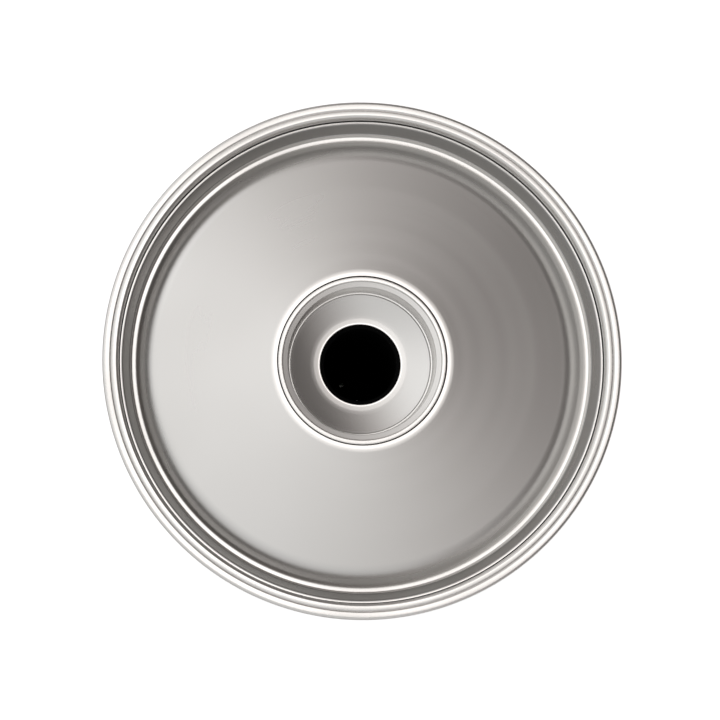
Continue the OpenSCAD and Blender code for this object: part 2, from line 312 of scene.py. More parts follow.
    @classmethod
    def _revolve(cls, mesh: bmesh.types.BMesh, outline: list) -> None:
        """Turns an outline through a full circle and closes its seam and poles.

        Args:
            mesh: Mesh that holds the outline.
            outline: Vertices and edges to turn.
        """
        bmesh.ops.spin(
            mesh, geom=outline, cent=(0.0, 0.0, 0.0), axis=AXIS, dvec=(0.0, 0.0, 0.0),
            angle=math.tau, steps=cls.STEPS, use_merge=True, use_normal_flip=False,
            use_duplicate=False,
        )
        bmesh.ops.remove_doubles(mesh, verts=mesh.verts[:], dist=cls.WELD)
        bmesh.ops.recalc_face_normals(mesh, faces=mesh.faces[:])

    @classmethod
    def _piece(cls, name: str, mesh: bmesh.types.BMesh) -> bpy.types.Object:
        """Turns a finished bmesh into a smooth-shaded object at the origin.

        Args:
            name: Name of the new object.
            mesh: The finished bmesh, which is freed.

        Returns:
            The new object.
        """
        data = bpy.data.meshes.new(name)
        mesh.to_mesh(data)
        mesh.free()
        data.shade_smooth()
        data.set_sharp_from_angle(angle=cls.SHARP)
        piece = bpy.data.objects.new(name, data)
        bpy.context.scene.collection.objects.link(piece)
        return piece


# ---- Shared surface effects ----


class NodeSheet:
    """A small hand for laying out the nodes of one tree."""

    def __init__(self, tree: bpy.types.NodeTree) -> None:
        """Keeps the tree that nodes are added to."""
        self.tree = tree

    def add(self, kind: str, **settings: object) -> bpy.types.Node:
        """Adds a node.

        Args:
            kind: Blender's name for the node type.
            settings: Properties to set on the node.

        Returns:
            The new node.
        """
        node = self.tree.nodes.new(kind)
        for key, value in settings.items():
            setattr(node, key, value)
        return node

    def link(self, source: Socket, target: Socket) -> None:
        """Joins two sockets."""
        self.tree.links.new(source, target)

    def math(self, operation: str, first: object, second: object = 0.0) -> Socket:
        """Adds a Math node.

        Args:
            operation: The sum to do.
            first: A socket or a number.
            second: A socket or a number.

        Returns:
            The result's socket.
        """
        node = self.add("ShaderNodeMath", operation=operation)
        for value, socket in zip((first, second), node.inputs):
            self.feed(value, socket)
        return node.outputs[0]

    def feed(self, value: object, socket: Socket) -> None:
        """Sets a socket from another socket, a number or a colour."""
        if isinstance(value, Socket):
            self.link(value, socket)
        elif isinstance(value, tuple):
            socket.default_value = (*value, 1.0)
        else:
            socket.default_value = value

    def mix(self, mask: Socket, low: object, high: object, **settings: str) -> Socket:
        """Mixes two values, or two colours where the settings say so, by a mask.

        Args:
            mask: 0 for the first and 1 for the second.
            low: The first: a socket, a number or a colour.
            high: The second.
            settings: Properties to set on the node.

        Returns:
            The result's socket.
        """
        node = self.add("ShaderNodeMix", **settings)
        for value, name in ((mask, "Factor"), (low, "A"), (high, "B")):
            self.feed(value, node.inputs[name])
        return node.outputs["Result"]

    def group(self, tree: bpy.types.NodeTree, place: Socket, **inputs: float) -> bpy.types.Node:
        """Adds a shared group that reads a place.

        Args:
            tree: The group.
            place: Where the group is read.
            inputs: Values of its other inputs.

        Returns:
            The new node.
        """
        node = self.add("ShaderNodeGroup", node_tree=tree)
        self.link(place, node.inputs["Position"])
        for name, value in inputs.items():
            node.inputs[name].default_value = value
        return node

    def radius(self, place: Socket) -> Socket:
        """Adds the distance of a place from the upright axis."""
        flat = self.add("ShaderNodeVectorMath", operation="MULTIPLY")
        self.link(place, flat.inputs[0])
        flat.inputs[1].default_value = (1.0, 1.0, 0.0)
        length = self.add("ShaderNodeVectorMath", operation="LENGTH")
        self.link(flat.outputs[0], length.inputs[0])
        return length.outputs["Value"]

    def noise(self, vector: Socket, scale: object, detail: float, rough: float = 0.5) -> Socket:
        """Adds a Noise Texture.

        Args:
            vector: Where the noise is read.
            scale: Its scale.
            detail: Its octaves.
            rough: How strong the fine octaves are.

        Returns:
            The noise value's socket.
        """
        node = self.add("ShaderNodeTexNoise")
        self.link(vector, node.inputs["Vector"])
        self.feed(scale, node.inputs["Scale"])
        node.inputs["Detail"].default_value = detail
        node.inputs["Roughness"].default_value = rough
        return node.outputs["Fac"]

    def ramp(self, value: Socket, low: float, high: float) -> Socket:
        """Stretches a value so that low becomes 0 and high becomes 1, with soft ends."""
        node = self.add("ShaderNodeMapRange", interpolation_type="SMOOTHSTEP")
        self.link(value, node.inputs["Value"])
        node.inputs["From Min"].default_value = low
        node.inputs["From Max"].default_value = high
        return node.outputs["Result"]


class SurfaceEffects:
    """Node groups that several finishes share. Counts are to the metre."""

    RING_DRIFT = 40.0
    COARSE_RINGS = 0.13
    BAND_END = 0.0003
    SMUDGES = 38.0
    TONE_CLOUDS = 60.0

    def __init__(self) -> None:
        """Builds each group once."""
        self.lathe_grain = self._lathe_grain()
        self.handling = self._handling()
        self.mould_grain = self._mould_grain()
        self.radial_band = self._radial_band()

    @staticmethod
    def _group(name: str, outputs: Sequence[str], **inputs: float) -> tuple:
        """Starts a node group that reads a Position.

        Args:
            name: Name of the group.
            outputs: Names of the value outputs.
            inputs: Default of each further value input.

        Returns:
            The tree, its sheet, and its input and output nodes.
        """
        tree = bpy.data.node_groups.new(name, "ShaderNodeTree")
        tree.interface.new_socket("Position", in_out="INPUT", socket_type="NodeSocketVector")
        for label, default in inputs.items():
            socket = tree.interface.new_socket(label, in_out="INPUT", socket_type="NodeSocketFloat")
            socket.default_value = default
        for label in outputs:
            tree.interface.new_socket(label, in_out="OUTPUT", socket_type="NodeSocketFloat")
        sheet = NodeSheet(tree)
        return tree, sheet, sheet.add("NodeGroupInput"), sheet.add("NodeGroupOutput")

    def _lathe_grain(self) -> bpy.types.NodeTree:
        """Fine rings that a lathe or a polishing pad leaves around the axis.

        Returns:
            A group with Height and Shade outputs from Position and Rings inputs.
        """
        tree, sheet, start, end = self._group("lathe_grain", ["Height", "Shade"], Rings=1500.0)
        split = sheet.add("ShaderNodeSeparateXYZ")
        sheet.link(start.outputs["Position"], split.inputs[0])
        radius = sheet.radius(start.outputs["Position"])
        spot = sheet.add("ShaderNodeCombineXYZ")
        sheet.link(sheet.math("MULTIPLY", radius, start.outputs["Rings"]), spot.inputs["X"])
        upward = sheet.math("MULTIPLY", split.outputs["Z"], start.outputs["Rings"])
        sheet.link(upward, spot.inputs["Y"])
        sheet.link(sheet.math("MULTIPLY", split.outputs["X"], self.RING_DRIFT), spot.inputs["Z"])
        sheet.link(sheet.noise(spot.outputs[0], 1.0, 1.0), end.inputs["Height"])
        coarse = sheet.noise(spot.outputs[0], self.COARSE_RINGS, 2.0)
        sheet.link(sheet.ramp(coarse, 0.3, 0.7), end.inputs["Shade"])
        return tree

    def _radial_band(self) -> bpy.types.NodeTree:
        """A band between two radii, which fades in from its inner one.

        Returns:
            A group with a Band output from Position, Inner, Outer and Fade inputs.
        """
        tree, sheet, start, end = self._group(
            "radial_band", ["Band"], Inner=0.0, Outer=0.0, Fade=self.BAND_END
        )
        radius = sheet.radius(start.outputs["Position"])
        inside = sheet.math("SUBTRACT", radius, start.outputs["Inner"])
        inside = sheet.ramp(sheet.math("DIVIDE", inside, start.outputs["Fade"]), 0.0, 1.0)
        outside = sheet.math("SUBTRACT", start.outputs["Outer"], radius)
        outside = sheet.ramp(outside, 0.0, self.BAND_END)
        sheet.link(sheet.math("MULTIPLY", inside, outside), end.inputs["Band"])
        return tree

    def _handling(self) -> bpy.types.NodeTree:
        """Faint smudges from hands and washing.

        Returns:
            A group with a Smudge output from a Position input.
        """
        tree, sheet, start, end = self._group("handling", ["Smudge"])
        cloud = sheet.noise(start.outputs["Position"], self.SMUDGES, 1.0)
        sheet.link(sheet.ramp(cloud, 0.3, 0.8), end.inputs["Smudge"])
        return tree

    def _mould_grain(self) -> bpy.types.NodeTree:
        """The fine matte grain and slight tone shifts of a moulded or machined polymer.

        Returns:
            A group with Height and Shade outputs from Position and Grain inputs.
        """
        tree, sheet, start, end = self._group("mould_grain", ["Height", "Shade"], Grain=2500.0)
        fine = sheet.noise(start.outputs["Position"], start.outputs["Grain"], 3.0, 0.6)
        sheet.link(fine, end.inputs["Height"])
        cloud = sheet.noise(start.outputs["Position"], self.TONE_CLOUDS, 3.0)
        sheet.link(sheet.ramp(cloud, 0.35, 0.7), end.inputs["Shade"])
        return tree


# ---- Finishes ----


class Band(NamedTuple):
    """A ring of a turned face whose colour is darkened by its shade, which is painted shade, and
    whose roughness is raised by its haze. Lengths in metres.

    Args:
        inner: Its inner radius.
        outer: Its outer radius.
        fade: Width over which it fades in from its inner radius.
        shade: Its brightness, as a share of the rest; below 1 it paints shade on the ring.
        haze: Roughness that it has beyond the rest.
    """

    inner: float
    outer: float
    fade: float = SurfaceEffects.BAND_END
    shade: float = 1.0
    haze: float = 0.0


@dataclass(frozen=True)
class LathedMetal:
    """A metal finish with rings around the axis.

    Args:
        name: Name of the finish.
        light: Colour of the clean metal.
        dull: Colour where hands have dulled it.
        roughness: Roughness of the clean metal.
        spread: How much the grain and the smudges change the roughness.
        rings: Rings in a metre.
        depth: Depth of the rings, in metres.
        bands: Rings of the face whose colour is darkened to paint shade, and which are rougher than
            the rest.
        ring_share: How much of the spread the grain brings, as a share of what the smudges bring.
    """

    name: str
    light: Colour
    dull: Colour
    roughness: float
    spread: float
    rings: float
    depth: float
    bands: tuple[Band, ...] = ()
    ring_share: float = 0.6

    def make(self, effects: SurfaceEffects) -> bpy.types.Material:
        """Builds the material.

        Args:
            effects: The shared node groups.

        Returns:
            The new material.
        """
        material, sheet, shader, place = start_material(self.name)
        grain = sheet.group(effects.lathe_grain, place, Rings=self.rings)
        smudge = sheet.group(effects.handling, place).outputs["Smudge"]
        tone = sheet.mix(smudge, self.light, self.dull, data_type="RGBA")
        wear = sheet.math("MULTIPLY", smudge, self.spread)
        rings = sheet.math("MULTIPLY", grain.outputs["Shade"], self.spread * self.ring_share)
        rough = sheet.math("ADD", sheet.math("ADD", wear, rings), self.roughness)
        # Each band multiplies the colour by its shade, which paints shade, and adds its haze to the
        # roughness.
        for ring in self.bands:
            band = sheet.group(
                effects.radial_band, place, Inner=ring.inner, Outer=ring.outer, Fade=ring.fade
            ).outputs["Band"]
            shade = (ring.shade,) * 3
            tone = sheet.mix(band, tone, shade, data_type="RGBA", blend_type="MULTIPLY")
            rough = sheet.math("ADD", rough, sheet.math("MULTIPLY", band, ring.haze))
        sheet.link(tone, shader.inputs["Base Color"])
        sheet.link(rough, shader.inputs["Roughness"])
        shader.inputs["Metallic"].default_value = 1.0
        add_bump(sheet, shader, grain.outputs["Height"], self.depth)
        return material


@dataclass(frozen=True)
class Polymer:
    """A rubber or plastic finish with a fine grain.

    Args:
        name: Name of the finish.
        light: Its lighter colour.
        dark: Its darker colour.
        roughness: Its roughness.
        grain: Grains in a metre.
        depth: Depth of the grain, in metres.
        sheen: Strength of the dusty sheen at grazing angles.
        shine: Strength of its reflections, where 0.5 is usual.
        spread: How much the tone shifts change the roughness.
    """

    name: str
    light: Colour
    dark: Colour
    roughness: float
    grain: float
    depth: float
    sheen: float = 0.0
    shine: float = 0.5
    spread: float = 0.1

    def make(self, effects: SurfaceEffects) -> bpy.types.Material:
        """Builds the material.

        Args:
            effects: The shared node groups.

        Returns:
            The new material.
        """
        material, sheet, shader, place = start_material(self.name)
        grain = sheet.group(effects.mould_grain, place, Grain=self.grain)
        tone = sheet.mix(grain.outputs["Shade"], self.light, self.dark, data_type="RGBA")
        sheet.link(tone, shader.inputs["Base Color"])
        shift = sheet.math("MULTIPLY", grain.outputs["Shade"], self.spread)
        sheet.link(sheet.math("ADD", shift, self.roughness), shader.inputs["Roughness"])
        shader.inputs["Sheen Weight"].default_value = self.sheen
        shader.inputs["Specular IOR Level"].default_value = self.shine
        add_bump(sheet, shader, grain.outputs["Height"], self.depth)
        return material


def start_material(name: str) -> tuple:
    """Starts a material.

    Args:
        name: Name of the material.

    Returns:
        The material, its node sheet, its Principled BSDF and the Object coordinates' socket.
    """
    material = bpy.data.materials.new(name)
    material.use_nodes = True
    sheet = NodeSheet(material.node_tree)
    shader = material.node_tree.nodes["Principled BSDF"]
    place = sheet.add("ShaderNodeTexCoord").outputs["Object"]
    return material, sheet, shader, place


def add_bump(sheet: NodeSheet, shader: bpy.types.Node, height: Socket, depth: float) -> None:
    """Raises the surface by a height value.

    Args:
        sheet: Where the node goes.
        shader: The Principled BSDF.
        height: The height's socket, from 0 to 1.
        depth: What a height of 1 stands for, in metres.
    """
    bump = sheet.add("ShaderNodeBump")
    bump.inputs["Distance"].default_value = depth
    sheet.link(height, bump.inputs["Height"])
    sheet.link(bump.outputs["Normal"], shader.inputs["Normal"])


SATIN = LathedMetal(
    "spun_steel", (0.760, 0.745, 0.725), (0.728, 0.713, 0.692), 0.20, 0.06, 2600.0, 2.0e-6
)


class Finishes:
    """Every finish of the maker, by material slot."""

    def __init__(self) -> None:
        """Builds the shared effects and one material for each slot."""
        effects = SurfaceEffects()
        # Painted shade: the edge band darkens the dome just inside the channel to 0.78 of its
        # colour, and the wall band darkens the channel's wall to 0.42, where the lid shows darker
        # reflections.
        edge = Band(0.0400, 0.0437, fade=0.0018, shade=0.78, haze=0.02)
        wall = Band(0.0447, 0.0466, shade=0.42, haze=0.06)
        self.lid_steel_with_painted_shade = replace(SATIN, name="lid_steel_with_painted_shade", bands=(edge, wall)).make(effects)
        ledge = Band(0.0131, 0.0155, haze=0.04)
        self.button_steel = replace(SATIN, name="button_steel", bands=(ledge,)).make(effects)
        recipes = {
            Slot.SPUN_STEEL: SATIN,
            Slot.TURNED_STEEL: LathedMetal(
                "turned_steel", (0.700, 0.690, 0.675), (0.640, 0.628, 0.610), 0.27, 0.07, 1900.0,
                4.0e-6,
            ),
            Slot.SPRING_STEEL: LathedMetal(
                "spring_steel", (0.560, 0.560, 0.560), (0.430, 0.425, 0.415), 0.24, 0.08, 1200.0,
                2.0e-6,
            ),
            Slot.FOOT_RUBBER: Polymer(
                "foot_rubber", (0.032, 0.032, 0.033), (0.018, 0.018, 0.019), 0.62, 2400.0,
                3.0e-5, 0.15,
            ),
            Slot.SILICONE: Polymer(
                "silicone", (0.320, 0.318, 0.312), (0.270, 0.268, 0.262), 0.48, 1600.0, 8.0e-6, 0.1
            ),
            Slot.WHITE_NYLON: Polymer(
                "white_nylon", (0.800, 0.785, 0.740), (0.740, 0.722, 0.668), 0.42, 1900.0, 6.0e-6
            ),
            # Partly the vent liner's own black nylon, and partly painted shade: colour near zero
            # and reflections nearly off, so the bore down the button's hole reads as pitch-black
            # shade.
            Slot.BLACK_NYLON: Polymer(
                "black_nylon", (0.0022, 0.0022, 0.0023), (0.0010, 0.0010, 0.0011), 0.75, 1900.0,
                1.0e-5, shine=0.05,
            ),
        }
        self.materials = {slot: recipe.make(effects) for slot, recipe in recipes.items()}

    def dress(self, piece: bpy.types.Object, slot: Slot) -> None:
        """Gives a piece its one finish."""
        piece.data.materials.clear()
        piece.data.materials.append(self.materials[slot])


# ---- Sub-assemblies ----


@dataclass
class Assembly:
    """What the three sub-assemblies share.

    Args:
        finishes: The maker's finishes.
        body: The rigid body that the pieces ride on.
    """

    finishes: Finishes
    body: Body

    def fit(self, piece: bpy.types.Object, node: str, slot: Slot) -> bpy.types.Object:
        """Puts a new piece in the place of its CAD node, on the sub-assembly's body.

        Args:
            piece: The new piece.
            node: The CAD node that it stands for.
            slot: Its material slot.

        Returns:
            The piece.
        """
        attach(piece, self.body.value)
        return self.stand_in(piece, node, slot)

    def stand_in(self, piece: bpy.types.Object, node: str, slot: Slot) -> bpy.types.Object:
        """Dresses a new piece, hides the CAD node that it stands for, and logs how far the piece is
        off that node.

        Args:
            piece: The new piece.
            node: The CAD node that it stands for.
            slot: Its material slot.

        Returns:
            The piece.
        """
        self.finishes.dress(piece, slot)
        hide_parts(node)
        size = extent(node)
        radius = max(math.hypot(vertex.co.x, vertex.co.y) for vertex in piece.data.vertices) / MM
        heights = [vertex.co.z / MM for vertex in piece.data.vertices]
        LOG.info(
            "%s: %s with %d faces, off its node by %.3f mm in radius, %.3f and %.3f mm in height",
            self.body.value, piece.name, len(piece.data.polygons),
            radius - size.r, min(heights) - size.low, max(heights) - size.high,
        )
        return piece

    def keep(self, nodes: dict[str, bpy.types.Object], node: str, slot: Slot) -> None:
        """Keeps a CAD node as it is and gives it its finish."""
        self.finishes.dress(nodes[node], slot)
        LOG.info("%s: %s kept from the frame", self.body.value, node)

    def ring(self, node: str, slot: Slot, inner: float, ease: float = 0.15) -> bpy.types.Object:
        """Turns a plain ring with eased edges in the place of a CAD node.

        Args:
            node: The CAD node that it stands for.
            slot: Its material slot.
            inner: Its inner radius.
            ease: Size of its eased edges.

        Returns:
            The piece.
        """
        size = extent(node)
        piece = Lathe.solid(node + "_turned", [
            Corner(inner, size.low, ease, 3),
            Corner(size.r, size.low, ease, 3),
            Corner(size.r, size.high, ease, 3),
            Corner(inner, size.high, ease, 3),
        ])
        return self.fit(piece, node, slot)


@dataclass
class Hopper(Assembly):
    """The barrel with its rolled rim, foot, funnel and nozzle. Sizes are in millimetres."""

    sheet: float = 0.8
    bead: float = 1.55
    rim_ease: float = 0.55
    rim_round: float = 0.55
    rim_line: float = 1.62
    rim_groove: float = 0.2
    ledge_width: float = 1.95
    ledge_depth: float = 8.6
    ledge_ease: float = 1.0
    bead_tail: float = 0.27
    fit_gap: float = 0.04
    seat_gap: float = 0.02
    bore_gap: float = 0.1
    foot_spigot: float = 2.4
    foot_lip: float = 5.0
    foot_grooves: int = 2
    groove_half: float = 0.28
    groove_floor: float = 0.1
    groove_depth: float = 0.3
    cone_height: float = 28.0
    seat_margin: float = 1.5
    nozzle_wall: float = 2.5
    nozzle_flange: float = 3.5
    nozzle_flange_height: float = 2.0
    thread_depth: float = 0.35
    thread_pitch: float = 1.5
    thread_start: float = 4.0
    thread_end: float = 1.0
    nose: tuple[float, float] = (1.0, 2.0)
    mouth_ease: float = 0.8

    @property
    def rim(self) -> Extent:
        """Reach of the shell."""
        return extent("outer_shell")

    @property
    def neck(self) -> float:
        """Inner radius of the neck under the rim."""
        return self.rim.r - 2.0 * self.bead

    @property
    def barrel(self) -> float:
        """Inner radius of the barrel."""
        return self.neck - self.ledge_width

    def build(self, nodes: dict[str, bpy.types.Object]) -> None:
        """Makes and fits every piece of the hopper."""
        self.shell()
        self.foot()
        self.funnel()
        self.nozzle()
        gasket_bore = self.nozzle_bore + self.nozzle_wall + self.bore_gap
        self.ring("nozzle_gasket", Slot.SILICONE, gasket_bore, 0.2)
        self.keep(nodes, "nozzle_nut", Slot.TURNED_STEEL)

    @property
    def nozzle_bore(self) -> float:
        """Radius of the nozzle's bore."""
        return extent("nozzle_cylinder").r - self.nozzle_flange - self.nozzle_wall

    def shell(self) -> None:
        """The spun barrel, its ledge and its rolled rim, with the wire inside the roll."""
        top, outer, ledge = self.rim.high, self.rim.r, self.rim.high - self.ledge_depth
        line = [
            Corner(self.barrel, self.rim.low),
            Corner(self.barrel, ledge, self.ledge_ease),
            Corner(self.neck, ledge, 0.3, 4),
            Corner(self.neck, top, self.rim_ease, 10),
            Corner(outer - self.rim_line - self.rim_groove, top, 0.06, 3),
            Corner(outer - self.rim_line, top - self.rim_groove, 0.05, 3),
            Corner(outer - self.rim_line + self.rim_groove, top, 0.06, 3),
            Corner(outer, top, self.rim_round, 12),
            Corner(outer, top - 2.0 * self.bead, self.bead, 12),
            Corner(outer - self.bead - self.bead_tail, top - 2.0 * self.bead),
        ]
        self.fit(Lathe.sheet("spun_shell", line, self.sheet), "outer_shell", Slot.SPUN_STEEL)
        wire = self.bead - self.sheet - self.rim_groove
        hoop = Lathe.torus("rim_hoop", outer - self.bead, top - self.bead, wire)
        self.fit(hoop, "rim_wire", Slot.TURNED_STEEL)

    def foot(self) -> None:
        """The moulded foot, with grip grooves around its lip."""
        size = extent("foot_ring")
        slot_in = self.barrel - self.fit_gap
        slot_out = self.barrel + self.sheet + self.fit_gap
        inner = slot_in - self.foot_spigot
        outline = [Corner(inner, size.low, 0.5), Corner(size.r, size.low, 0.8)]
        pitch = self.foot_lip / (self.foot_grooves + 1.6)
        for groove in range(self.foot_grooves):
            z = size.low + pitch * (groove + 1.2)
            outline += [
                Corner(size.r, z - self.groove_half, 0.1, 3),
                Corner(size.r - self.groove_depth, z - self.groove_floor, 0.1, 3),
                Corner(size.r - self.groove_depth, z + self.groove_floor, 0.1, 3),
                Corner(size.r, z + self.groove_half, 0.1, 3),
            ]
        outline += [
            Corner(size.r, self.foot_lip, 0.4),
            Corner(slot_out, self.foot_lip, 0.15, 3),
            Corner(slot_out, self.rim.low - self.seat_gap),
            Corner(slot_in, self.rim.low - self.seat_gap),
            Corner(slot_in, size.high, 0.4),
            Corner(inner, size.high, 0.5),
        ]
        self.fit(Lathe.solid("moulded_foot", outline), "foot_ring", Slot.FOOT_RUBBER)

    def funnel(self) -> None:
        """The cone that is welded into the barrel and leads down to the nozzle."""
        size, flange = extent("hopper_funnel"), extent("nozzle_cylinder")
        collar = size.r - self.sheet
        seat = size.low + self.sheet
        line = [
            Corner(collar, size.high),
            Corner(collar, seat + self.cone_height, 0.8),
            Corner(flange.r + self.seat_margin, seat, 1.1),
            Corner(flange.r - self.nozzle_flange + self.bore_gap, seat),
        ]
        self.fit(Lathe.sheet("spun_funnel", line, -self.sheet), "hopper_funnel", Slot.SPUN_STEEL)

    def nozzle(self) -> None:
        """The turned nozzle, with the thread that its ring nut runs on."""
        size, nut = extent("nozzle_cylinder"), extent("nozzle_nut")
        bore, wall = self.nozzle_bore, self.nozzle_bore + self.nozzle_wall
        under = size.high - self.nozzle_flange_height
        outline = [
            Corner(bore, size.low, 0.2, 3),
            Corner(wall - self.nose[0], size.low, 0.3, 3),
            Corner(wall, size.low + self.nose[1], 0.3, 3),
        ]
        start = size.low + self.thread_start
        turns = int((nut.low - self.thread_end - start) / self.thread_pitch)
        for turn in range(turns):
            z = start + turn * self.thread_pitch
            outline += [
                Corner(wall, z, 0.08, 2),
                Corner(wall - self.thread_depth, z + self.thread_pitch * 0.4, 0.08, 2),
                Corner(wall, z + self.thread_pitch * 0.8, 0.08, 2),
            ]
        outline += [
            Corner(wall, under),
            Corner(size.r, under, 0.3, 3),
            Corner(size.r, size.high, 0.4, 3),
            Corner(bore + self.mouth_ease, size.high, 0.2, 3),
            Corner(bore, size.high - self.mouth_ease, 0.2, 3),
        ]
        self.fit(Lathe.solid("turned_nozzle", outline), "nozzle_cylinder", Slot.TURNED_STEEL)


@dataclass
class Lid(Assembly):
    """The domed lid, its gasket, and the collar that guides the plunger. Sizes in millimetres."""

    sheet: float = 0.6
    lip: float = 0.5
    wall: tuple[float, float] = (1.2, 3.0)
    step: tuple[float, float] = (0.2, 0.15)
    toe: float = 0.2
    channel_depth: float = 4.7
    channel: float = 0.85
    edge_slope: float = 35.0
    dome_slope: float = 8.0
    edge_run: float = 0.4
    shoulder_radius: float = 9.0
    crown: float = 0.9
    crown_ease: float = 0.55
    collar_wall: float = 1.35
    collar_flange: float = 5.0
    collar_flange_height: float = 1.0
    collar_floor: float = 1.5
    button_clearance: float = 0.2
    bush_wall: float = 2.0
    bush_clearance: float = 0.06
    bush_flange: float = 1.2
    wiper_width: float = 1.2
    wiper_height: float = 1.6
    wiper_gap: float = 0.03
    wiper_lip: tuple[float, float] = (0.6, 0.5)
    washer_gap: float = 0.3
    gasket_width: float = 1.2
    gasket_foot: float = 1.45
    gasket_ease: float = 0.5
    gasket_reach: float = 0.28
    spring_gap: float = 0.8
    spring_turns: float = 5.0
    closed_pitch: float = 1.05
    wire_play: float = 0.01
    fit_gap: float = 0.04

    @property
    def bore(self) -> float:
        """Radius of the collar's bore, and of the opening in the dome over it."""
        return extent("push_button").r + self.button_clearance

    @property
    def crown_height(self) -> float:
        """Height of the dome's crown."""
        return extent("lid_dome").high

    @property
    def stem(self) -> float:
        """Radius of the plunger's stem."""
        return extent("plunger_stem").r

    def build(self) -> None:
        """Makes and fits every piece of the lid."""
        self.dome()
        self.gasket()
        self.guide()
        self.bush()
        self.ring("spring_washer", Slot.TURNED_STEEL, self.stem + self.washer_gap, 0.1)
        self.spring()

    def dome_line(self) -> list[Corner]:
        """Lays out the upper face of the lid.

        Returns:
            Its corners, from the outer edge to the opening.
        """
        size = extent("lid_dome")
        top = self.rim_height
        edge = math.radians(self.edge_slope)
        floor = top - self.channel_depth
        wall = size.r - self.lip
        step = wall - self.wall[0]
        toe = step - self.step[0]
        channel = toe - self.toe
        foot = channel - self.channel
        half_turn = math.radians(self.edge_slope - self.dome_slope) / 2.0
        shoulder_ease = self.shoulder_radius * math.tan(half_turn)
        run = shoulder_ease + self.edge_run
        return [
            Corner(size.r, top),
            Corner(wall, top, 0.14, 5),
            Corner(step, top - self.wall[1], 0.06, 3),
            Corner(toe, top - self.wall[1] - self.step[1], 0.06, 4),
            Corner(channel, floor, 0.12, 4),
            Corner(foot, floor, 0.1, 4),
            Corner(foot - run * math.cos(edge), floor + run * math.sin(edge), shoulder_ease, 24),
            Corner(self.bore + self.crown, self.crown_height, self.crown_ease, 8),
            Corner(self.bore, self.crown_height),
        ]

    @property
    def rim_height(self) -> float:
        """Height of the lid's outer edge, which the gasket's height is measured from."""
        return extent("lid_gasket").low + self.gasket_reach + self.channel_depth

    def dome(self) -> None:
        """The spun lid: edge, stepped wall, channel, dome and crown."""
        piece = Lathe.sheet("spun_dome", self.dome_line(), -self.sheet)
        self.fit(piece, "lid_dome", Slot.SPUN_STEEL)
        # The lid's finish carries painted shade on the dome's edge and on the channel's wall.
        piece.data.materials[0] = self.finishes.lid_steel_with_painted_shade

    def gasket(self) -> None:
        """The gasket that the lid stands on."""
        size = extent("lid_gasket")
        slope = self.wall[0] / self.wall[1]
        inner, foot = size.r - self.gasket_width, size.low + self.gasket_foot
        outline = [
            Corner(inner, size.low, 0.15, 3),
            Corner(size.r - self.gasket_ease, size.low, 0.1, 3),
            Corner(size.r, size.low + self.gasket_ease, 0.1, 3),
            Corner(size.r, size.high, 0.15, 3),
            Corner(inner + (size.high - foot) * slope, size.high, 0.1, 3),
            Corner(inner, foot, 0.1, 3),
        ]
        self.fit(Lathe.solid("moulded_gasket", outline), "lid_gasket", Slot.SILICONE)

    def guide(self) -> None:
        """The collar: a turned tube with a floor, whose flange is welded under the dome."""
        size = extent("guide_collar")
        floor = size.low + self.collar_floor
        bush = self.stem + self.bush_clearance + self.bush_wall + self.fit_gap
        tube = self.bore + self.collar_wall
        drop = (self.collar_flange - self.crown) * math.tan(math.radians(self.dome_slope))
        flange = self.bore + self.collar_flange
        outline = [
            Corner(bush, floor),
            Corner(self.bore, floor, 1.0),
            Corner(self.bore, size.high, 0.1, 3),
            Corner(self.bore + self.crown, size.high),
            Corner(flange, size.high - drop, 0.15, 3),
            Corner(flange, size.high - drop - self.collar_flange_height, 0.15, 3),
            Corner(tube, size.high - drop - self.collar_flange_height, 0.5, 4),
            Corner(tube, size.low, 1.3),
            Corner(bush, size.low),
        ]
        self.fit(Lathe.solid("turned_collar", outline), "guide_collar", Slot.TURNED_STEEL)

    def bush(self) -> None:
        """The nylon bush around the stem, and the wiper in its lower end."""
        size = extent("stem_bush")
        bore = self.stem + self.bush_clearance
        wall = bore + self.bush_wall
        wiper = bore + self.wiper_width
        flange = size.high - self.bush_flange
        outline = [
            Corner(wiper, size.low, 0.1, 3),
            Corner(wall, size.low, 0.4, 4),
            Corner(wall, flange),
            Corner(size.r, flange, 0.15, 3),
            Corner(size.r, size.high, 0.2, 3),
            Corner(bore, size.high, 0.2, 3),
            Corner(bore, size.low + self.wiper_height),
            Corner(wiper, size.low + self.wiper_height),
        ]
        self.fit(Lathe.solid("machined_bush", outline), "stem_bush", Slot.WHITE_NYLON)
        seal = extent("stem_wiper")
        lip = self.stem + self.wiper_gap
        outline = [
            Corner(lip + self.wiper_lip[0], seal.low, 0.1, 3),
            Corner(seal.r, seal.low, 0.15, 3),
            Corner(seal.r, seal.high, 0.15, 3),
            Corner(lip, seal.high, 0.1, 3),
            Corner(lip, seal.high - self.wiper_lip[1], 0.1, 3),
        ]
        self.fit(Lathe.solid("moulded_wiper", outline), "stem_wiper", Slot.SILICONE)

    def spring(self) -> None:
        """The return spring, closed at each end, which gives between its two seats."""
        size = extent("return_spring")
        wire = (size.r - self.stem - self.spring_gap) / 2.0
        closed = self.closed_pitch * 2.0 * wire
        rise = (size.high - size.low - 2.0 * wire - 2.0 * closed) / self.spring_turns
        piece = Lathe.coil(
            "wound_spring", size.r - wire, size.low + wire, wire - self.wire_play,
            [(1.0, closed), (self.spring_turns, rise), (1.0, closed)],
        )
        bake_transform(piece)
        self.stand_in(piece, "return_spring", Slot.SPRING_STEEL)


